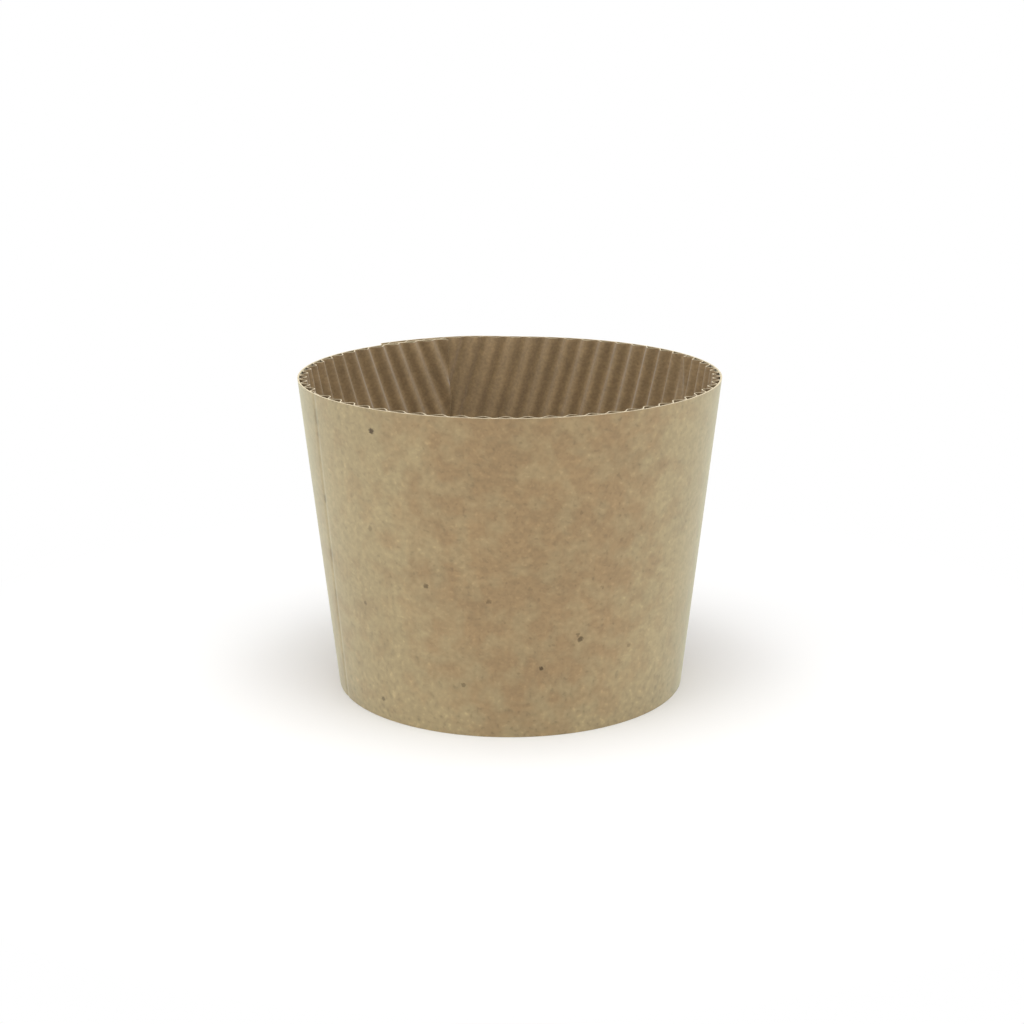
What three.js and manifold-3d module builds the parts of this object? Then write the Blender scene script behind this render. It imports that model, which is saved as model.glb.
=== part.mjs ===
// A corrugated kraft sleeve for a hot drink cup: one die-cut sheet of single-face board,
// rolled into a tapered ring and glued at a lap. The smooth liner faces out, and the
// fluted medium faces the cup.
//
// Millimetres, +Z up. The origin is the centre of the base ring, and the front is -Y.
//
// The board is straight-fluted and the cup is a cone, so the blank is cut to an arc. Its
// flutes stay parallel to the blank's centre line, which makes them lean away from the
// sleeve's own slope lines towards the lap, where the two ends meet in a V.

import * as THREE from "three";
import { mergeGeometries, mergeVertices } from "three/addons/utils/BufferGeometryUtils.js";
import Module from "manifold-3d";

const wasm = await Module();
wasm.setup();

// The ring, over the liner's outer face.
const TOP_DIAMETER = 79.7;
const BASE_DIAMETER = 67.0;
const HEIGHT = 60.0;

// The board: two papers, and the wave that the inner one is pressed into.
const LINER = 0.3;
const MEDIUM = 0.2;
const FLUTE_HEIGHT = 1.5; // over the medium's two faces
const FLUTE_PITCH = 3.86;
const GLUE_LINE = 0.6; // width of starch that holds each flute to the liner

// The lap, where one end of the sheet climbs over the other.
const LAP_LENGTH = 14.0; // along the top edge
const LAP_CLIMB = 13.0; // length over which the outer end leaves the ring
const LAP_CLEARANCE = 3.0; // from the top of the climb to the inner end's cut edge
const LAP_BITE = 0.1; // how far the glued flutes press into the liner below

// The two folds that let the sleeve ship flat, opposite each other. They slant a little
// across the sleeve's own slope lines.
const FOLD_TOP_AZIMUTH = -61.8; // degrees from the front, to the left
const FOLD_BASE_AZIMUTH = -67.5;
const SCORE_WIDTH = 0.7;
const SCORE_DEPTH = 0.14;
const CRUSH_WIDTH = 2.2; // flutes pressed flat behind the score
const CRUSH_SPREAD = 0.3; // how far the pressed paper runs in under the flutes beside it

// Where the middle of the blank lies, in degrees from the front, to the right.
const BLANK_AZIMUTH = 29.5;

// How finely the round forms are drawn.
const WAVE_SEGMENTS = 6;
const SLOPE_STEPS = 3;

const BOARD = LINER + FLUTE_HEIGHT;
const TOP_RADIUS = TOP_DIAMETER / 2;
const BASE_RADIUS = BASE_DIAMETER / 2;
const TAPER = Math.atan((TOP_RADIUS - BASE_RADIUS) / HEIGHT);
const TOP_ARC = TOP_RADIUS / Math.sin(TAPER); // the blank's arcs, from the cone's tip
const BASE_ARC = BASE_RADIUS / Math.sin(TAPER);
const LAP_HALF = LAP_LENGTH / 2 / TOP_RADIUS; // the same half lap as an angle
const SHEET_END = Math.PI + LAP_HALF; // turn from the blank's middle to either end

// A cut runs this far past what it cuts, edges shorter than a burr are closed up, and
// corners closer than a weld are one.
const OVERCUT = 1.0;
const BURR = 0.01;
const WELD = 1e-4;

// Turns a closed three.js geometry into a manifold solid.
function solid(geometry) {
  geometry.deleteAttribute("normal");
  geometry.deleteAttribute("uv");
  const merged = mergeVertices(geometry, WELD);
  return new wasm.Manifold(
    new wasm.Mesh({
      numProp: 3,
      vertProperties: merged.attributes.position.array,
      triVerts: new Uint32Array(merged.index.array),
    }),
  );
}

// Turns a manifold solid back into a three.js geometry.
function geometryOf(made) {
  const mesh = made.getMesh();
  const geometry = new THREE.BufferGeometry();
  geometry.setAttribute("position", new THREE.BufferAttribute(mesh.vertProperties, 3));
  geometry.setIndex(new THREE.BufferAttribute(mesh.triVerts, 1));
  return geometry;
}

// Moves every vertex of a geometry by a function of its place.
function reshape(geometry, place) {
  const position = geometry.attributes.position;
  const vertex = new THREE.Vector3();
  for (let i = 0; i < position.count; i++) {
    vertex.fromBufferAttribute(position, i);
    vertex.copy(place(vertex.x, vertex.y, vertex.z));
    position.setXYZ(i, vertex.x, vertex.y, vertex.z);
  }
  return geometry;
}

// A point at a turn from the front, a distance from the axis and a height.
function onRing(turn, radius, height) {
  return new THREE.Vector3(radius * Math.sin(turn), -radius * Math.cos(turn), height);
}

// The liner's outer radius at a height.
function radiusAt(height) {
  return BASE_RADIUS + height * Math.tan(TAPER);
}

// A point of the wavy medium, at a distance along the board, on the side of its own
// thickness that is asked for: -1 faces the liner and +1 faces the cup.
function wavePoint(along, side) {
  const swing = (FLUTE_HEIGHT - MEDIUM) / 2;
  const phase = (2 * Math.PI * along) / FLUTE_PITCH;
  const depth = LINER + FLUTE_HEIGHT / 2 - swing * Math.cos(phase);
  const slope = Math.atan(((2 * Math.PI * swing) / FLUTE_PITCH) * Math.sin(phase));
  const offset = (side * MEDIUM) / 2;
  return new THREE.Vector2(
    along - offset * Math.sin(slope),
    depth + offset * Math.cos(slope),
  );
}

// One flute of the board, from the glue line it starts at to the next: the liner, the
// medium's arch behind it, and the gap between the two.
function fluteSection(flute) {
  const at = (share) => FLUTE_PITCH * (flute + share);
  const steps = Array.from({ length: WAVE_SEGMENTS + 1 }, (_, i) => i / WAVE_SEGMENTS);
  const arch = steps.map((share) => wavePoint(at(share), 1)).reverse();
  const section = new THREE.Shape([
    new THREE.Vector2(at(0), 0),
    new THREE.Vector2(at(1), 0),
    ...arch,
  ]);
  const underArch = steps.slice(1, -1).map((share) => wavePoint(at(share), -1)).reverse();
  const gap = new THREE.Path([
    new THREE.Vector2(at(0) + GLUE_LINE / 2, LINER),
    new THREE.Vector2(at(1) - GLUE_LINE / 2, LINER),
    ...underArch,
  ]);
  section.holes.push(gap);
  return section;
}

// How far the outer end of the sheet stands off the ring, at a turn from its middle.
function lapLift(turn) {
  const top = Math.PI - LAP_HALF - LAP_CLEARANCE / TOP_RADIUS;
  const foot = top - LAP_CLIMB / TOP_RADIUS;
  const climbed = THREE.MathUtils.smoothstep(turn, foot, top);
  return climbed * (BOARD / Math.cos(TAPER) - LAP_BITE);
}

// What the knife takes off past an end of the sheet: a wedge of a quarter turn.
function offcut(side) {
  const reach = 2 * Math.max(TOP_RADIUS, BASE_RADIUS);
  const corners = [0, 1 / 3, 2 / 3, 1].map((share) => {
    const turn = side * (SHEET_END + (Math.PI / 2) * share);
    return onRing(THREE.MathUtils.degToRad(BLANK_AZIMUTH) + turn, reach, 0);
  });
  const outline = [new THREE.Vector2(), ...corners.map((c) => new THREE.Vector2(c.x, c.y))];
  const geometry = new THREE.ExtrudeGeometry(new THREE.Shape(outline), {
    depth: HEIGHT + 2 * OVERCUT,
    bevelEnabled: false,
  });
  return solid(geometry.translate(0, 0, -OVERCUT));
}

// The faces of a board piece, without those that lie across the board at one of the
// given distances along it, where its neighbour carries on.
function openAt(geometry, distances) {
  const position = geometry.attributes.position;
  const kept = [];
  for (let i = 0; i < position.count; i += 3) {
    const corners = [0, 1, 2].map((j) => new THREE.Vector3().fromBufferAttribute(position, i + j));
    const shared = distances.some((d) => corners.every((c) => Math.abs(c.x - d) < WELD));
    if (!shared) corners.forEach((corner) => kept.push(...corner.toArray()));
  }
  const opened = new THREE.BufferGeometry();
  opened.setAttribute("position", new THREE.Float32BufferAttribute(kept, 3));
  return opened;
}

// The board over a run of flutes, flat, with its length along x, its depth along y and
// its flutes up z.
function flatBoard(first, last) {
  const flutes = [];
  for (let flute = first; flute < last; flute++) {
    const piece = new THREE.ExtrudeGeometry(fluteSection(flute), {
      depth: HEIGHT,
      steps: SLOPE_STEPS,
      bevelEnabled: false,
    });
    const joins = [flute, flute + 1].filter((end) => end > first && end < last);
    flutes.push(openAt(piece, joins.map((end) => end * FLUTE_PITCH)));
  }
  return mergeGeometries(flutes);
}

// One half of the sheet, from the middle of the blank to the end on that side, rolled
// into the ring. Each flute keeps its distance from the blank's centre line while the
// blank narrows towards the cone's tip.
function halfSheet(side, lift) {
  const reaches = [TOP_ARC, BASE_ARC].map((arc) => arc * Math.sin(SHEET_END * Math.sin(TAPER)));
  const count = Math.ceil(Math.max(...reaches) / FLUTE_PITCH);
  const board = side > 0 ? flatBoard(0, count) : flatBoard(-count, 0);
  reshape(board, (along, depth, height) => {
    const arc = BASE_ARC + height / Math.cos(TAPER);
    const turn = Math.asin(along / arc) / Math.sin(TAPER);
    const radius = radiusAt(height) - depth / Math.cos(TAPER) + lift(turn);
    return onRing(THREE.MathUtils.degToRad(BLANK_AZIMUTH) + turn, radius, height);
  });
  return solid(board).subtract(offcut(side));
}

// The azimuth of the left fold at a height.
function foldAzimuth(height) {
  return THREE.MathUtils.lerp(FOLD_BASE_AZIMUTH, FOLD_TOP_AZIMUTH, height / HEIGHT);
}

// A bar up the sleeve along a fold, which lies a number of degrees on from the left one.
// Its outline is drawn with x along the ring and y into the board.
function foldBar(degreesOn, corners, overrun) {
  const outline = corners.map(([along, depth]) => new THREE.Vector2(along, depth));
  const bar = new THREE.ExtrudeGeometry(new THREE.Shape(outline), {
    depth: HEIGHT + 2 * overrun,
    steps: SLOPE_STEPS,
    bevelEnabled: false,
  });
  bar.translate(0, 0, -overrun);
  reshape(bar, (along, depth, height) => {
    const turn = THREE.MathUtils.degToRad(foldAzimuth(height) + degreesOn);
    const sideways = new THREE.Vector3(Math.cos(turn), Math.sin(turn), 0);
    const radius = radiusAt(height) - depth / Math.cos(TAPER);
    return onRing(turn, radius, height).addScaledVector(sideways, along);
  });
  return solid(bar);
}

// The corners of a bar's outline between two depths, in order round it.
function barCorners(width, outer, inner) {
  const half = width / 2;
  return [[-half, outer], [-half, inner], [half, inner], [half, outer]];
}

// A fold: the score that dents the liner, and behind it the flutes that the creasing
// rule pressed flat, which leave a channel with the medium on its floor.
function fold(sheet, degreesOn) {
  const score = foldBar(
    degreesOn,
    [[-SCORE_WIDTH, -SCORE_DEPTH], [0, SCORE_DEPTH], [SCORE_WIDTH, -SCORE_DEPTH]],
    OVERCUT,
  );
  const channel = foldBar(degreesOn, barCorners(CRUSH_WIDTH, LINER, BOARD + OVERCUT), OVERCUT);
  const spread = CRUSH_WIDTH + 2 * CRUSH_SPREAD;
  const pressed = foldBar(degreesOn, barCorners(spread, LINER / 2, LINER + MEDIUM), 0);
  return sheet.subtract(channel).add(pressed).subtract(score);
}

// The largest of a solid's separate bodies, without the burrs and shavings of its cuts.
function deburr(made) {
  const bodies = made.simplify(BURR).decompose();
  return bodies.reduce((a, b) => (a.volume() > b.volume() ? a : b));
}

function makeSleeve() {
  const inner = halfSheet(-1, () => 0);
  const outer = halfSheet(1, lapLift);
  const ring = inner.add(outer);
  return deburr(fold(fold(ring, 0), 180));
}

const kraft = new THREE.MeshStandardMaterial({
  color: 0xa88f69,
  roughness: 0.9,
  metalness: 0,
  flatShading: true,
});

const sleeve = new THREE.Mesh(geometryOf(makeSleeve()), kraft);
sleeve.name = "sleeve";

const group = new THREE.Group();
group.add(sleeve);

export default group;
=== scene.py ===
import math

import bmesh
import bpy
import numpy as np
from mathutils import Matrix, Vector


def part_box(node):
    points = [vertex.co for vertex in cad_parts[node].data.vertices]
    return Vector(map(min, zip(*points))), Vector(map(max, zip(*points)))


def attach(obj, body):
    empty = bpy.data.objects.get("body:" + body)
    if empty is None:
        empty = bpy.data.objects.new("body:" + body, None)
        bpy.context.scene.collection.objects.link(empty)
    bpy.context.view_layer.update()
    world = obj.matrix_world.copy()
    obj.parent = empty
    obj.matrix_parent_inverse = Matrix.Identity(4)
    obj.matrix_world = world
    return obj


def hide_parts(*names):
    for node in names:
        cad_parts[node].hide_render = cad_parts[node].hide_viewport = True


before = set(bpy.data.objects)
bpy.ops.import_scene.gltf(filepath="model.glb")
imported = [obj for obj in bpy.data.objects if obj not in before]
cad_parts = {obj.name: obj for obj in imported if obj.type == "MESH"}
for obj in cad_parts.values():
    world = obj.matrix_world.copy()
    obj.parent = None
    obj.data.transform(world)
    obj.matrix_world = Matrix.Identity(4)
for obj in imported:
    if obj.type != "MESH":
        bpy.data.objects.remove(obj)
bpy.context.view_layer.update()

# A corrugated kraft sleeve: one die-cut sheet of single-face board, rolled into a tapered
# ring and glued at a lap. Sizes are millimetres until the mesh is made.
MM = 0.001

# The ring, over the liner's outer face.
TOP_RADIUS = 39.85
BASE_RADIUS = 33.5
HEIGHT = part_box("sleeve")[1][2] / MM
TAPER = math.atan((TOP_RADIUS - BASE_RADIUS) / HEIGHT)
BASE_ARC = BASE_RADIUS / math.sin(TAPER)

# The board: two papers, glued along every flute. The medium sinks into the liner by
# GLUE_SINK there.
LINER = 0.3
MEDIUM = 0.2
FLUTE_HEIGHT = 1.5
FLUTE_PITCH = 3.86
BOARD = LINER + FLUTE_HEIGHT
GLUE_SINK = 0.02

# The blank's middle, its two ends and the lap that joins them. The outer end of the sheet
# climbs over LAP_CLIMB, is all the way up LAP_CLEARANCE before the lap starts, and its
# flutes bite LAP_BITE into the liner beneath.
BLANK_AZIMUTH = math.radians(29.5)
LAP_LENGTH = 14.0
LAP_CLIMB = 13.0
LAP_CLEARANCE = 3.0
LAP_BITE = 0.1
LAP_HALF = LAP_LENGTH / 2 / TOP_RADIUS
SHEET_END = math.pi + LAP_HALF

# The two folds, half a turn apart. They slant a little across the slope lines.
FOLD_TOP_AZIMUTH = math.radians(-61.8)
FOLD_BASE_AZIMUTH = math.radians(-67.5)
SCORE_WIDTH = 1.2
SCORE_DEPTH = 0.09

# Behind each score the flutes are crushed to CRUSH_LEFT of their height. They stand up
# again between the two CRUSH_RISE shares of the crush's width.
CRUSH_WIDTH = 2.2
CRUSH_RISE = (0.3, 0.8)
CRUSH_LEFT = 0.06

# How unevenly the rolls press the flutes: the share of their height by which they vary, the
# radians of phase by which they wander, and the stretch of board over which each happens.
FLUTE_UNEVEN = 0.03
FLUTE_UNEVEN_OVER = 9.0
FLUTE_WANDER = 0.06
FLUTE_WANDER_OVER = 14.0

# A slow wander adds up WANDER_WAVES waves. Their lengths are drawn at random, from SEED,
# between the two WANDER_SPREAD shares of its stretch.
WANDER_WAVES = 6
WANDER_SPREAD = (0.6, 2.2)
SEED = 61

# How finely the papers are drawn. Columns whose turns agree to COLUMN_DECIMALS are one, and
# so are points of the finished mesh that lie closer than WELD, which is in metres.
LINER_STEP = 0.6
SCORE_STEP = 0.12
COLUMN_DECIMALS = 5
WAVE_STEPS = 12
ROW_STEP = 2.4
EDGE_ROWS = (0.15, 0.6)
SHARP_ANGLE = math.radians(50)
WELD = 1e-7

# The papers' colours, as sRGB: the liner where it is olive and where it is brown, its shives
# and the shade painted along its folds, the light on its loose fibres, the medium, and the cut
# edge of both.
# The olive, paler than the brown, is partly painted light on the flanks and at the bottom.
LINER_OLIVE = "#A28F69"
LINER_BROWN = "#967C57"
DARK_WOOD_AND_SHADE = "#4A3518"
FIBRE_LIGHT = "#F6FFEC"
FLUTING_BROWN = "#98805C"
CUT_FIBRE = "#D8CAAC"

# Light and dark in the papers. Each tone has the length of its patches with the paper
# machine and across it, and how far it swings either way. A softwood fibre is 3 mm long
# and 0.03 mm wide, which is too fine to show, so the smallest patches are bundles of fibre
# drawn 0.4 to 1 mm wide.
LINER_TONES = [
    (16.0, 12.0, 0.04),
    (2.0, 1.9, 0.05),
    (0.95, 0.9, 0.085),
]
FLUTING_TONES = [
    (9.0, 7.0, 0.06),
    (1.8, 1.4, 0.08),
    (0.6, 0.5, 0.14),
]
EDGE_TONES = [
    (1.2, 1.2, 0.06),
    (0.4, 0.4, 0.10),
]

# The middle stretch of a random pattern, which a tone draws out to its whole swing, and how
# far the patterns are turned out of line with the sheet, in radians.
TONE_RANGE = (0.3, 0.7)
PATCH_TURN = (0.61, 0.42, 0.35)

# The liner's salt and pepper: the size of a bundle, and for the pale and the dark ones where
# in the random pattern they start, where they are strongest, and their shade there.
BUNDLE_SIZE = 0.95
PALE_BUNDLES = (0.62, 0.78, 1.18)
DARK_BUNDLES = (0.38, 0.22, 0.82)

# Shives, the dark slivers of uncooked wood that kraft pulp leaves in the liner: azimuth
# from the front in degrees, height, radius, and how dark it is from 0 to 1.
SHIVES = [
    (-37.5, 56.0, 0.70, 1.0),
    (-24.0, 28.5, 0.60, 0.7),
    (-47.0, 22.5, 0.60, 0.5),
    (-6.0, 26.5, 0.60, 0.5),
    (20.5, 18.5, 0.75, 0.8),
    (19.8, 19.4, 0.50, 0.5),
    (9.0, 13.5, 0.55, 0.9),
    (-14.0, 10.0, 0.60, 0.5),
    (-43.5, 4.0, 0.65, 0.7),
    (37.5, 15.5, 0.60, 0.4),
    (-41.5, 37.5, 0.75, 0.4),
    (19.0, 42.5, 0.50, 0.3),
    (26.5, 28.0, 0.50, 0.3),
    (72.0, 31.0, 0.60, 0.6),
    (101.0, 47.5, 0.55, 0.8),
    (128.0, 12.0, 0.65, 0.5),
    (151.0, 38.0, 0.50, 0.7),
    (186.0, 21.0, 0.70, 0.6),
    (-139.0, 51.0, 0.55, 0.5),
    (-117.0, 30.0, 0.60, 0.9),
    (-98.0, 9.0, 0.50, 0.6),
    (-81.0, 43.0, 0.60, 0.5),
]

# Where the liner's tan turns browner in broad clouds: azimuth, height and radius of each,
# and how brown it is. They reach further up the sleeve than round it. The cloud at the
# front is partly painted light: it keeps the front brown, so that the paler olive round it
# paints in the glancing light on the flanks and the light from below at the bottom.
BROWN_CLOUDS_AND_PAINTED_LIGHT = [
    (7.0, 42.0, 57.0, 0.85),
    (112.0, 20.0, 40.0, 0.8),
    (195.0, 44.0, 42.0, 0.7),
    (-85.0, 12.0, 36.0, 0.6),
]
CLOUD_UPRIGHT = 1.7

# The clouds' edges stray over patches of the first size by up to the second. Small brown and
# olive patches of their own depart from the clouds by up to SMALL_PATCH_BROWN.
CLOUD_STRAY = (7.0, 5.5)
SMALL_PATCH = 4.0
SMALL_PATCH_RANGE = (0.35, 0.65)
SMALL_PATCH_BROWN = 0.4

# Shade painted along the crease of each fold, as ragged dark marks: height and half length of
# each mark, and how dark it is, on the left fold and then on the right one.
FOLD_SHADE_MARKS = (
    [
        (55.5, 2.0, 0.40),
        (52.5, 1.1, 0.28),
        (40.0, 1.3, 0.55),
        (29.0, 1.9, 0.32),
        (21.0, 1.3, 0.22),
    ],
    [
        (57.0, 1.3, 0.35),
        (47.5, 1.8, 0.35),
        (33.0, 1.2, 0.30),
        (14.0, 1.6, 0.35),
    ],
)
FOLD_SHADE_SLIMNESS = 1.5

# A shive, cloud or mark of painted fold shade is at its strongest within MARK_CORE of its
# radius. The edges of shives and of the painted fold shade stray over patches of the first
# size by up to the second.
MARK_CORE = 0.4
SHIVE_STRAY = (0.4, 0.35)
FOLD_SHADE_STRAY = (0.9, 0.9)

# A mix node gives its sockets the same names for every kind of value, so those for colours
# go by number: the share, the first and second colour, and the result.
MIX_SHARE = 0
MIX_FIRST = 6
MIX_SECOND = 7
MIX_RESULT = 2

# The camera of the photograph, in the sleeve's frame, with its angles in radians.
CAMERA_PLACE = (0.0, -342.67, 127.25)
CAMERA_PITCH = 0.269
CAMERA_YAW = 0.0011
CAMERA_ROLL = -0.002
FOCAL_PIXELS = 1845
IMAGE_PIXELS = 1024
SENSOR = 36.0

# The studio, in metres and watts: the lamps' size, each one's place and power, the soft
# light from all round, and the floor, which turns pure white between the two distances of
# FLOOR_FADE. It lies FLOOR_DROP, in millimetres, below the sleeve.
LAMP_SIZE = 0.9
LAMPS = {
    "left_softbox": ((-0.92, -0.40, 0.20), 4.1),
    "right_softbox": ((0.92, -0.40, 0.20), 3.6),
    "top_softbox": ((0.0, -0.2, 1.25), 10.5),
}
WORLD_LIGHT = 0.5
FLOOR_SIZE = 6.0
FLOOR_DROP = 0.05
FLOOR_FADE = (0.05, 0.13)
FLOOR_PALE = "#F6F6F6"
WHITE = (1.0, 1.0, 1.0, 1.0)

random = np.random.default_rng(SEED)


def smooth_step(value, low, high):
    """0 below low, 1 above high, and smooth between."""
    share = np.clip((value - low) / (high - low), 0.0, 1.0)
    return share * share * (3.0 - 2.0 * share)


def slow_wander(place, stretch):
    """A smooth random line that swings by about 1 either way and changes over a stretch."""
    total = np.zeros_like(place)
    for _ in range(WANDER_WAVES):
        rate = 2 * math.pi / (stretch * random.uniform(*WANDER_SPREAD))
        total += np.sin(place * rate + random.uniform(0, 2 * math.pi))
    return total / math.sqrt(WANDER_WAVES)


def arc_at(height):
    """Distance of the blank's arc at a height from the tip of the cone."""
    return BASE_ARC + height / math.cos(TAPER)


def radius_at(height):
    """Radius of the liner's outer face at a height."""
    return BASE_RADIUS + height * math.tan(TAPER)


def turn_at(along, height):
    """Turn round the ring of a point that far from the blank's centre line."""
    ratio = np.clip(along / arc_at(height), -1.0, 1.0)
    return np.arcsin(ratio) / math.sin(TAPER)


def along_at(turn, height):
    """Distance from the blank's centre line at a turn round the ring."""
    return arc_at(height) * np.sin(turn * math.sin(TAPER))


def fold_gap(turn, height, half_turns):
    """Distance round the ring to the left fold, or to the one half a turn on."""
    azimuth = FOLD_BASE_AZIMUTH + (FOLD_TOP_AZIMUTH - FOLD_BASE_AZIMUTH) * height / HEIGHT
    fold = azimuth - BLANK_AZIMUTH + half_turns * math.pi
    return (turn - fold) * radius_at(height)


def nearer_fold(turn, height):
    """Distance round the ring to whichever fold is nearer."""
    return np.minimum(np.abs(fold_gap(turn, height, 0)), np.abs(fold_gap(turn, height, 1)))


def lap_lift(turn):
    """How far the outer end of the sheet stands off the ring."""
    top = math.pi - LAP_HALF - LAP_CLEARANCE / TOP_RADIUS
    foot = top - LAP_CLIMB / TOP_RADIUS
    return smooth_step(turn, foot, top) * (BOARD / math.cos(TAPER) - LAP_BITE)


def rolled(turn, depth, height):
    """The place on the sleeve of a point of the sheet, in metres."""
    radius = radius_at(height) - depth / math.cos(TAPER) + lap_lift(turn)
    azimuth = turn + BLANK_AZIMUTH
    return np.stack([radius * np.sin(azimuth), -radius * np.cos(azimuth), height], axis=-1) * MM


def on_blank(turn, depth, height):
    """The same point on the flat blank, in millimetres, for the paper's own patterns."""
    angle = turn * math.sin(TAPER)
    arc = arc_at(height)
    return np.stack([arc * np.sin(angle), arc * np.cos(angle) - BASE_ARC, depth], axis=-1)


def from_folds(turn, height):
    """Distances round the ring to the two folds, and the height, in millimetres."""
    return np.stack([fold_gap(turn, height, 0), fold_gap(turn, height, 1), height], axis=-1)


def row_heights():
    """Heights of the mesh's rows, closer together at the cut edges."""
    inner = np.linspace(0, HEIGHT, round(HEIGHT / ROW_STEP) + 1)[1:-1]
    low = np.array([0.0, *EDGE_ROWS])
    return np.concatenate([low, inner, (HEIGHT - low)[::-1]])


def liner_columns():
    """Turns of the liner's columns, closer together at the folds."""
    even = np.arange(-SHEET_END, SHEET_END, LINER_STEP / TOP_RADIUS)
    middle = (FOLD_TOP_AZIMUTH + FOLD_BASE_AZIMUTH) / 2 - BLANK_AZIMUTH
    reach = SCORE_WIDTH + (FOLD_TOP_AZIMUTH - FOLD_BASE_AZIMUTH) / 2 * TOP_RADIUS
    near = np.arange(-reach, reach, SCORE_STEP) / TOP_RADIUS + middle
    columns = np.concatenate([even, near, near + math.pi, [SHEET_END]])
    return np.unique(np.round(columns, COLUMN_DECIMALS))


def sheet_mesh(face_out, face_in):
    """Vertices and faces of a closed sheet between two grids of points, rows by columns.

    The faces come as three lists: those out, those in, and the cut edges."""
    rows, columns = face_out.shape[:2]
    index = np.arange(rows * columns).reshape(rows, columns)
    far = index + rows * columns
    out = np.stack([index[:-1, :-1], index[:-1, 1:], index[1:, 1:], index[1:, :-1]], -1)
    inside = np.stack([far[:-1, :-1], far[1:, :-1], far[1:, 1:], far[:-1, 1:]], -1)
    edges = [
        np.stack([index[0, 1:], index[0, :-1], far[0, :-1], far[0, 1:]], -1),
        np.stack([index[-1, :-1], index[-1, 1:], far[-1, 1:], far[-1, :-1]], -1),
        np.stack([index[:-1, 0], index[1:, 0], far[1:, 0], far[:-1, 0]], -1),
        np.stack([index[1:, -1], index[:-1, -1], far[:-1, -1], far[1:, -1]], -1),
    ]
    points = np.concatenate([face_out.reshape(-1, 3), face_in.reshape(-1, 3)])
    return points, out.reshape(-1, 4), inside.reshape(-1, 4), np.concatenate(edges)


def liner_sheet():
    """The liner, a smooth sheet with a dent at each score: the places on the sleeve, on
    the blank and from the folds, for the sheet's outer face and its inner one."""
    height, turn = np.meshgrid(row_heights(), liner_columns(), indexing="ij")
    dent = np.exp(-((nearer_fold(turn, height) / (SCORE_WIDTH / 2)) ** 2)) * SCORE_DEPTH
    depths = (0.0, LINER)
    places = [rolled(turn, dent + depth, height) for depth in depths]
    blanks = [on_blank(turn, np.full_like(turn, depth), height) for depth in depths]
    folds = [from_folds(turn, height) for _ in depths]
    return places, blanks, folds


def medium_sheet():
    """The medium, a wavy sheet crushed flat behind each score: the same three grids."""
    reach = math.ceil(along_at(SHEET_END, HEIGHT) / FLUTE_PITCH)
    drawn = np.arange(-reach * WAVE_STEPS, reach * WAVE_STEPS + 1) * FLUTE_PITCH / WAVE_STEPS
    height, along = np.meshgrid(row_heights(), drawn, indexing="ij")
    turn = np.clip(turn_at(along, height), -SHEET_END, SHEET_END)
    along = along_at(turn, height)
    uneven = 1 + FLUTE_UNEVEN * slow_wander(along, FLUTE_UNEVEN_OVER)
    rise = [share * CRUSH_WIDTH for share in CRUSH_RISE]
    standing = smooth_step(nearer_fold(turn, height), *rise)
    swing = (FLUTE_HEIGHT - MEDIUM) / 2 * uneven
    swing = swing * (CRUSH_LEFT + (1 - CRUSH_LEFT) * standing)
    wander = FLUTE_WANDER * slow_wander(along, FLUTE_WANDER_OVER)
    phase = 2 * math.pi * along / FLUTE_PITCH + wander
    middle = LINER + MEDIUM / 2 - GLUE_SINK + swing * (1 - np.cos(phase))
    slope = np.arctan(2 * math.pi * swing / FLUTE_PITCH * np.sin(phase))
    places = []
    blanks = []
    for side in (-1, 1):
        offset = side * MEDIUM / 2
        moved = np.clip(turn_at(along - offset * np.sin(slope), height), -SHEET_END, SHEET_END)
        depth = middle + offset * np.cos(slope)
        places.append(rolled(moved, depth, height))
        blanks.append(on_blank(turn, depth, height))
    folds = [from_folds(turn, height) for _ in places]
    return places, blanks, folds


def weld_points(mesh):
    """Joins the points that fell together at the ends of the sheet."""
    made = bmesh.new()
    made.from_mesh(mesh)
    bmesh.ops.remove_doubles(made, verts=made.verts, dist=WELD)
    bmesh.ops.dissolve_degenerate(made, edges=made.edges, dist=WELD)
    made.to_mesh(mesh)
    made.free()


def make_board():
    """One object of both papers, which are glued together along every flute."""
    finishes = {"kraft_liner": kraft_liner, "kraft_fluting": kraft_fluting,
                "die_cut_edge": die_cut_edge}
    slot = {name: i for i, name in enumerate(finishes)}
    points, blank_points, fold_points, faces, face_slots = [], [], [], [], []
    start = 0
    for sheet, finish in ((liner_sheet(), "kraft_liner"), (medium_sheet(), "kraft_fluting")):
        places, blanks, folds = sheet
        made, out, inside, edges = sheet_mesh(*places)
        points.append(made)
        blank_points.append(np.concatenate([grid.reshape(-1, 3) for grid in blanks]))
        fold_points.append(np.concatenate([grid.reshape(-1, 3) for grid in folds]))
        for group, name in ((out, finish), (inside, finish), (edges, "die_cut_edge")):
            faces.append(group + start)
            face_slots += [slot[name]] * len(group)
        start += len(made)
    mesh = bpy.data.meshes.new("kraft_board")
    mesh.from_pydata(np.concatenate(points).tolist(), [], np.concatenate(faces).tolist())
    for name, values in (("blank", blank_points), ("folds", fold_points)):
        layer = mesh.attributes.new(name, "FLOAT_VECTOR", "POINT")
        layer.data.foreach_set("vector", np.concatenate(values).ravel())
    for make_finish in finishes.values():
        mesh.materials.append(make_finish())
    mesh.polygons.foreach_set("material_index", face_slots)
    mesh.polygons.foreach_set("use_smooth", [True] * len(face_slots))
    board = bpy.data.objects.new("kraft_board", mesh)
    bpy.context.scene.collection.objects.link(board)
    weld_points(mesh)
    mesh.set_sharp_from_angle(angle=SHARP_ANGLE)
    return board


def linear(hex_colour):
    """A colour written as sRGB hex, as the linear values that the shader takes."""
    values = [int(hex_colour[i : i + 2], 16) / 255 for i in (1, 3, 5)]
    turned = [v / 12.92 if v <= 0.04045 else ((v + 0.055) / 1.055) ** 2.4 for v in values]
    return (*turned, 1.0)


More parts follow.
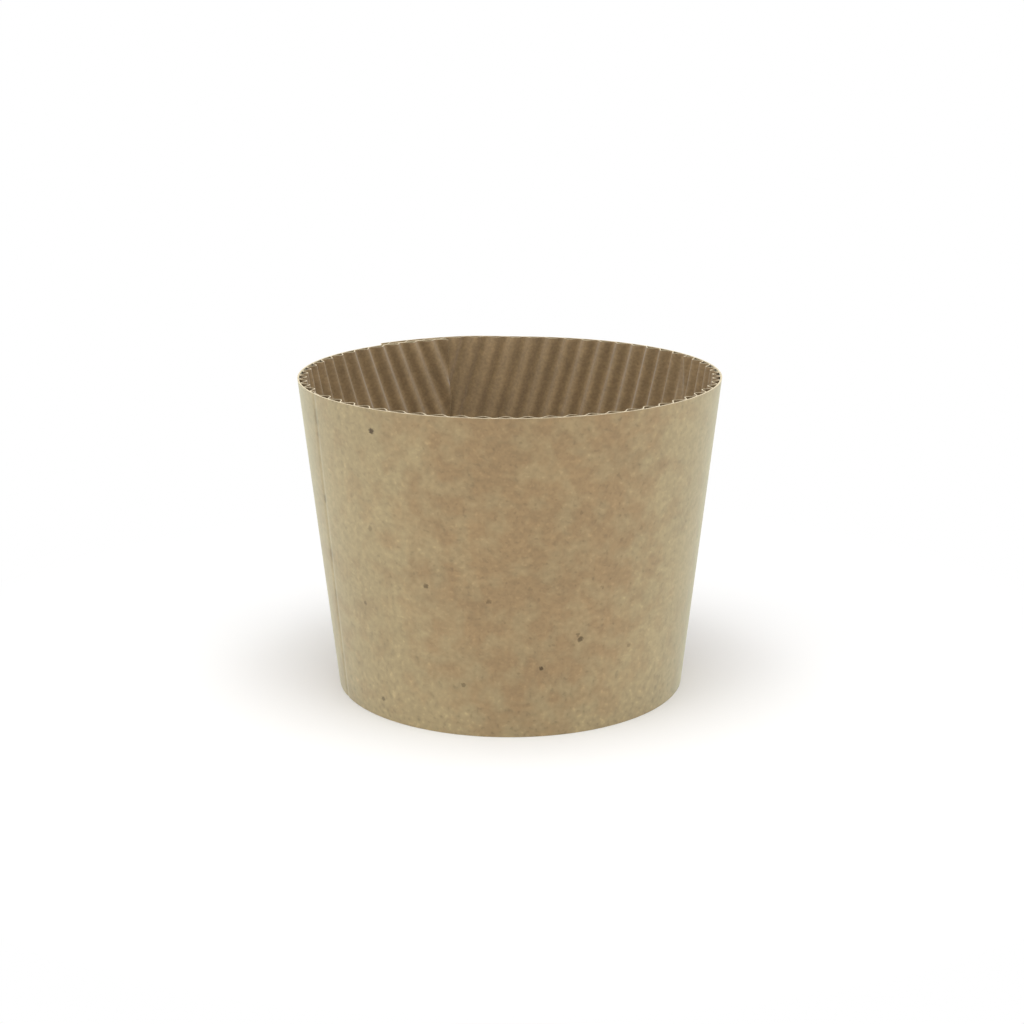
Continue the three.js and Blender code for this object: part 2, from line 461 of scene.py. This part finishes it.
def add(tree, kind, settings=None, links=None):
    """Adds a node, sets its properties and sockets, and links sockets to it."""
    node = tree.nodes.new(kind)
    for name, value in (settings or {}).items():
        if isinstance(name, int) or name in node.inputs:
            node.inputs[name].default_value = value
        else:
            setattr(node, name, value)
    for name, source in (links or {}).items():
        tree.links.new(source, node.inputs[name])
    return node


def new_finish(name):
    """A material, its tree and its principled shader."""
    material = bpy.data.materials.new(name)
    material.use_nodes = True
    tree = material.node_tree
    shader = next(node for node in tree.nodes if node.type == "BSDF_PRINCIPLED")
    return material, tree, shader


def patchy(tree, place, length, width, detail):
    """Random patches of that length with the paper machine and that width across it. They
    are turned out of line with the sheet, so that they don't fall into rows."""
    turned = add(tree, "ShaderNodeMapping",
                 {"Scale": (1 / length, 1 / width, 1 / length), "Rotation": PATCH_TURN},
                 {"Vector": place})
    return add(tree, "ShaderNodeTexNoise", {"Scale": 1.0, "Detail": detail},
               {"Vector": turned.outputs["Vector"]})


def paper_tones(tree, blank, tones):
    """Light and dark in the paper, as a factor round 1. Each tone has the length of its
    patches with the machine and across it, and how far it swings either way."""
    factor = None
    for length, width, swing in tones:
        patches = patchy(tree, blank, length, width, detail=1.0)
        tone = add(tree, "ShaderNodeMapRange",
                   {"From Min": TONE_RANGE[0], "From Max": TONE_RANGE[1],
                    "To Min": 1 - swing, "To Max": 1 + swing},
                   {"Value": patches.outputs["Fac"]})
        if factor is None:
            factor = tone.outputs["Result"]
        else:
            factor = add(tree, "ShaderNodeMath", {"operation": "MULTIPLY"},
                         {0: factor, 1: tone.outputs["Result"]}).outputs["Value"]
    return factor


def marked(tree, place, marks):
    """How strongly the paper is marked, by marks with a place, a radius and a strength."""
    strongest = None
    for point, radius, strength in marks:
        away = add(tree, "ShaderNodeVectorMath", {"operation": "DISTANCE", 1: point}, {0: place})
        mark = add(tree, "ShaderNodeMapRange",
                   {"interpolation_type": "SMOOTHSTEP", "From Min": radius,
                    "From Max": radius * MARK_CORE, "To Min": 0.0, "To Max": strength},
                   {"Value": away.outputs["Value"]}).outputs["Result"]
        if strongest is None:
            strongest = mark
        else:
            strongest = add(tree, "ShaderNodeMath", {"operation": "MAXIMUM"},
                            {0: strongest, 1: mark}).outputs["Value"]
    return strongest


def strayed(tree, place, size, reach):
    """The same place moved about by up to a reach, which makes what lies there ragged."""
    waver = patchy(tree, place, size, size, detail=2.0)
    centred = add(tree, "ShaderNodeVectorMath", {"operation": "SUBTRACT", 1: (0.5, 0.5, 0.5)},
                  {0: waver.outputs["Color"]})
    return add(tree, "ShaderNodeVectorMath",
               {"operation": "MULTIPLY_ADD", 1: (2 * reach, 2 * reach, 0.0)},
               {0: centred.outputs["Vector"], 2: place}).outputs["Vector"]


def blank_marks(marks, stretch=1.0):
    """Marks given by azimuth and height, with their places on the blank instead, drawn out
    along the sheet by a stretch."""
    for degrees, height, radius, strength in marks:
        turn = math.radians(degrees) - BLANK_AZIMUTH
        along, up, _ = on_blank(np.array(turn), np.array(0.0), np.array(height))
        yield (along * stretch, up, 0.0), radius, strength


def how_brown_with_painted_light(tree, blank):
    """How brown the liner is, from 0 for olive to 1: broad clouds with ragged edges, and small
    patches that depart from them. The paler olive round the front's cloud is partly painted
    light on the flanks and at the bottom."""
    wandered = strayed(tree, blank, *CLOUD_STRAY)
    upright = add(tree, "ShaderNodeVectorMath",
                  {"operation": "MULTIPLY", 1: (CLOUD_UPRIGHT, 1.0, 0.0)}, {0: wandered})
    clouds = marked(tree, upright.outputs["Vector"], blank_marks(BROWN_CLOUDS_AND_PAINTED_LIGHT, CLOUD_UPRIGHT))
    patches = patchy(tree, blank, SMALL_PATCH, SMALL_PATCH, detail=2.5)
    departure = add(tree, "ShaderNodeMapRange",
                    {"From Min": SMALL_PATCH_RANGE[0], "From Max": SMALL_PATCH_RANGE[1],
                     "To Min": -SMALL_PATCH_BROWN, "To Max": SMALL_PATCH_BROWN},
                    {"Value": patches.outputs["Fac"]})
    return add(tree, "ShaderNodeMath", {"operation": "ADD", "use_clamp": True},
               {0: clouds, 1: departure.outputs["Result"]}).outputs["Value"]


def flecked(tree, blank, tones):
    """The liner's tones with its salt and pepper of paler and darker bundles of fibre."""
    bundles = patchy(tree, blank, BUNDLE_SIZE, BUNDLE_SIZE, detail=1.0)
    for start, end, shade in (PALE_BUNDLES, DARK_BUNDLES):
        fleck = add(tree, "ShaderNodeMapRange",
                    {"From Min": start, "From Max": end, "To Min": 1.0, "To Max": shade},
                    {"Value": bundles.outputs["Fac"]})
        tones = add(tree, "ShaderNodeMath", {"operation": "MULTIPLY"},
                    {0: tones, 1: fleck.outputs["Result"]}).outputs["Value"]
    return tones


def how_dark(tree, blank, folds):
    """How strongly shives, and the shade painted along the crease of both folds, darken the
    liner.
    """
    ragged = strayed(tree, blank, *SHIVE_STRAY)
    darkness = marked(tree, ragged, blank_marks(SHIVES))
    # Dark marks along the crease of each fold, ragged at their edges: painted shade.
    fold_place = strayed(tree, folds, *FOLD_SHADE_STRAY)
    for side, marks in enumerate(FOLD_SHADE_MARKS):
        to_fold = (FOLD_SHADE_SLIMNESS * (side == 0), FOLD_SHADE_SLIMNESS * (side == 1), 1.0)
        place = add(tree, "ShaderNodeVectorMath", {"operation": "MULTIPLY", 1: to_fold},
                    {0: fold_place})
        crease_shade = marked(tree, place.outputs["Vector"],
                        [((0, 0, height), reach, dark) for height, reach, dark in marks])
        darkness = add(tree, "ShaderNodeMath", {"operation": "MAXIMUM"},
                       {0: darkness, 1: crease_shade}).outputs["Value"]
    return darkness


def kraft_liner():
    """Unbleached kraft linerboard, machine-made from long brown softwood fibre. To the eye
    it is a matt tan, cloudy at a few millimetres where the fibres flocked, with a salt and
    pepper of paler and darker fibre bundles and a few dark shives. Loose fibre ends on its
    face catch light at a glancing angle, so its flanks look paler and a little greener. The
    base colour paints more of that light in: it is brown in a broad cloud at the front, and
    paler olive on the flanks and at the bottom. Shade is painted along both folds."""
    material, tree, shader = new_finish("kraft_liner")
    blank = add(tree, "ShaderNodeAttribute", {"attribute_name": "blank"}).outputs["Vector"]
    folds = add(tree, "ShaderNodeAttribute", {"attribute_name": "folds"}).outputs["Vector"]
    # The base colour, olive and brown, with painted light in it: paler olive on the flanks and at
    # the bottom round the front's brown cloud.
    colour = add(tree, "ShaderNodeMix",
                 {"data_type": "RGBA", MIX_FIRST: linear(LINER_OLIVE),
                  MIX_SECOND: linear(LINER_BROWN)},
                 {MIX_SHARE: how_brown_with_painted_light(tree, blank)})
    tones = flecked(tree, blank, paper_tones(tree, blank, LINER_TONES))
    toned = add(tree, "ShaderNodeMix",
                {"data_type": "RGBA", "blend_type": "MULTIPLY", MIX_SHARE: 1.0},
                {MIX_FIRST: colour.outputs[MIX_RESULT], MIX_SECOND: tones})
    # Shives, and the painted shade along the folds, mixed into the liner's colour.
    specked = add(tree, "ShaderNodeMix", {"data_type": "RGBA", MIX_SECOND: linear(DARK_WOOD_AND_SHADE)},
                  {MIX_SHARE: how_dark(tree, blank, folds),
                   MIX_FIRST: toned.outputs[MIX_RESULT]})
    tree.links.new(specked.outputs[MIX_RESULT], shader.inputs["Base Color"])
    shader.inputs["Roughness"].default_value = 0.75
    shader.inputs["IOR"].default_value = 1.5
    shader.inputs["Sheen Weight"].default_value = 0.6
    shader.inputs["Sheen Roughness"].default_value = 0.45
    shader.inputs["Sheen Tint"].default_value = linear(FIBRE_LIGHT)
    relief = add(tree, "ShaderNodeBump", {"Strength": 0.25, "Distance": 0.03 * MM},
                 {"Height": tones})
    tree.links.new(relief.outputs["Normal"], shader.inputs["Normal"])
    return material


def kraft_fluting():
    """Kraft fluting medium, machine-made of shorter and partly recycled fibre: a duller and
    rougher paper than the liner, about as brown as the liner's clouds."""
    material, tree, shader = new_finish("kraft_fluting")
    blank = add(tree, "ShaderNodeAttribute", {"attribute_name": "blank"}).outputs["Vector"]
    tones = paper_tones(tree, blank, FLUTING_TONES)
    toned = add(tree, "ShaderNodeMix",
                {"data_type": "RGBA", "blend_type": "MULTIPLY", MIX_SHARE: 1.0,
                 MIX_FIRST: linear(FLUTING_BROWN)},
                {MIX_SECOND: tones})
    tree.links.new(toned.outputs[MIX_RESULT], shader.inputs["Base Color"])
    shader.inputs["Roughness"].default_value = 0.85
    shader.inputs["IOR"].default_value = 1.5
    shader.inputs["Sheen Weight"].default_value = 0.3
    shader.inputs["Sheen Roughness"].default_value = 0.5
    relief = add(tree, "ShaderNodeBump", {"Strength": 0.5, "Distance": 0.04 * MM},
                 {"Height": tones})
    tree.links.new(relief.outputs["Normal"], shader.inputs["Normal"])
    return material


def die_cut_edge():
    """The papers' edge where the steel rule cut it: torn fibre ends that scatter light,
    so it looks paler than the face of the same paper."""
    material, tree, shader = new_finish("die_cut_edge")
    blank = add(tree, "ShaderNodeAttribute", {"attribute_name": "blank"}).outputs["Vector"]
    tones = paper_tones(tree, blank, EDGE_TONES)
    toned = add(tree, "ShaderNodeMix",
                {"data_type": "RGBA", "blend_type": "MULTIPLY", MIX_SHARE: 1.0,
                 MIX_FIRST: linear(CUT_FIBRE)},
                {MIX_SECOND: tones})
    tree.links.new(toned.outputs[MIX_RESULT], shader.inputs["Base Color"])
    shader.inputs["Roughness"].default_value = 0.95
    shader.inputs["IOR"].default_value = 1.5
    return material


def studio_floor():
    """A pale matt floor that keeps the shadow, and turns pure white further off."""
    bpy.ops.mesh.primitive_plane_add(size=FLOOR_SIZE, location=(0, 0, -FLOOR_DROP * MM))
    floor = bpy.context.object
    floor.name = "studio_floor"
    material, tree, shader = new_finish("studio_white")
    shader.inputs["Base Color"].default_value = linear(FLOOR_PALE)
    shader.inputs["Roughness"].default_value = 0.9
    shader.inputs["Specular IOR Level"].default_value = 0.1
    place = add(tree, "ShaderNodeTexCoord")
    far = add(tree, "ShaderNodeVectorMath", {"operation": "LENGTH"}, {0: place.outputs["Object"]})
    fade = add(tree, "ShaderNodeMapRange",
               {"From Min": FLOOR_FADE[0], "From Max": FLOOR_FADE[1]},
               {"Value": far.outputs["Value"]})
    path = add(tree, "ShaderNodeLightPath")
    seen = add(tree, "ShaderNodeMath", {"operation": "MULTIPLY"},
               {0: fade.outputs["Result"], 1: path.outputs["Is Camera Ray"]})
    white = add(tree, "ShaderNodeEmission", {"Color": WHITE, "Strength": 1.0})
    mix = add(tree, "ShaderNodeMixShader", links={
        0: seen.outputs["Value"], 1: shader.outputs["BSDF"], 2: white.outputs["Emission"],
    })
    output = next(node for node in tree.nodes if node.type == "OUTPUT_MATERIAL")
    tree.links.new(mix.outputs["Shader"], output.inputs["Surface"])
    floor.data.materials.append(material)


def studio_world():
    """White to the camera and in reflections, and a soft grey light from all round."""
    world = bpy.data.worlds.new("studio")
    bpy.context.scene.world = world
    world.use_nodes = True
    tree = world.node_tree
    tree.nodes.clear()
    path = add(tree, "ShaderNodeLightPath")
    seen = path.outputs["Is Camera Ray"]
    for ray in ("Is Glossy Ray", "Is Transmission Ray"):
        seen = add(tree, "ShaderNodeMath", {"operation": "MAXIMUM"},
                   {0: seen, 1: path.outputs[ray]}).outputs["Value"]
    soft = add(tree, "ShaderNodeBackground", {"Color": WHITE, "Strength": WORLD_LIGHT})
    white = add(tree, "ShaderNodeBackground", {"Color": WHITE, "Strength": 1.0})
    mix = add(tree, "ShaderNodeMixShader", links={
        0: seen, 1: soft.outputs["Background"], 2: white.outputs["Background"],
    })
    output = add(tree, "ShaderNodeOutputWorld")
    tree.links.new(mix.outputs["Shader"], output.inputs["Surface"])


def studio_lamps():
    """Large soft lamps, each turned to the sleeve."""
    for name, (place, power) in LAMPS.items():
        lamp = bpy.data.lights.new(name, "AREA")
        lamp.shape = "SQUARE"
        lamp.size = LAMP_SIZE
        lamp.energy = power
        stand = bpy.data.objects.new(name, lamp)
        bpy.context.scene.collection.objects.link(stand)
        aim = Vector((0, 0, HEIGHT / 2 * MM)) - Vector(place)
        turned = aim.to_track_quat("-Z", "Y").to_matrix().to_4x4()
        stand.matrix_world = Matrix.Translation(place) @ turned


def photo_camera():
    """The camera where the photograph was taken from."""
    camera = bpy.data.objects.new("camera", bpy.data.cameras.new("camera"))
    bpy.context.scene.collection.objects.link(camera)
    camera.data.sensor_width = SENSOR
    camera.data.lens = FOCAL_PIXELS / IMAGE_PIXELS * SENSOR
    camera.matrix_world = (
        Matrix.Translation([v * MM for v in CAMERA_PLACE])
        @ Matrix.Rotation(-CAMERA_YAW, 4, "Z")
        @ Matrix.Rotation(math.pi / 2 - CAMERA_PITCH, 4, "X")
        @ Matrix.Rotation(CAMERA_ROLL, 4, "Z")
    )
    bpy.context.scene.camera = camera


photo_camera()
studio_world()
studio_floor()
studio_lamps()
bpy.context.scene.view_settings.view_transform = "Standard"

board = make_board()
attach(board, "root")
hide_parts("sleeve")
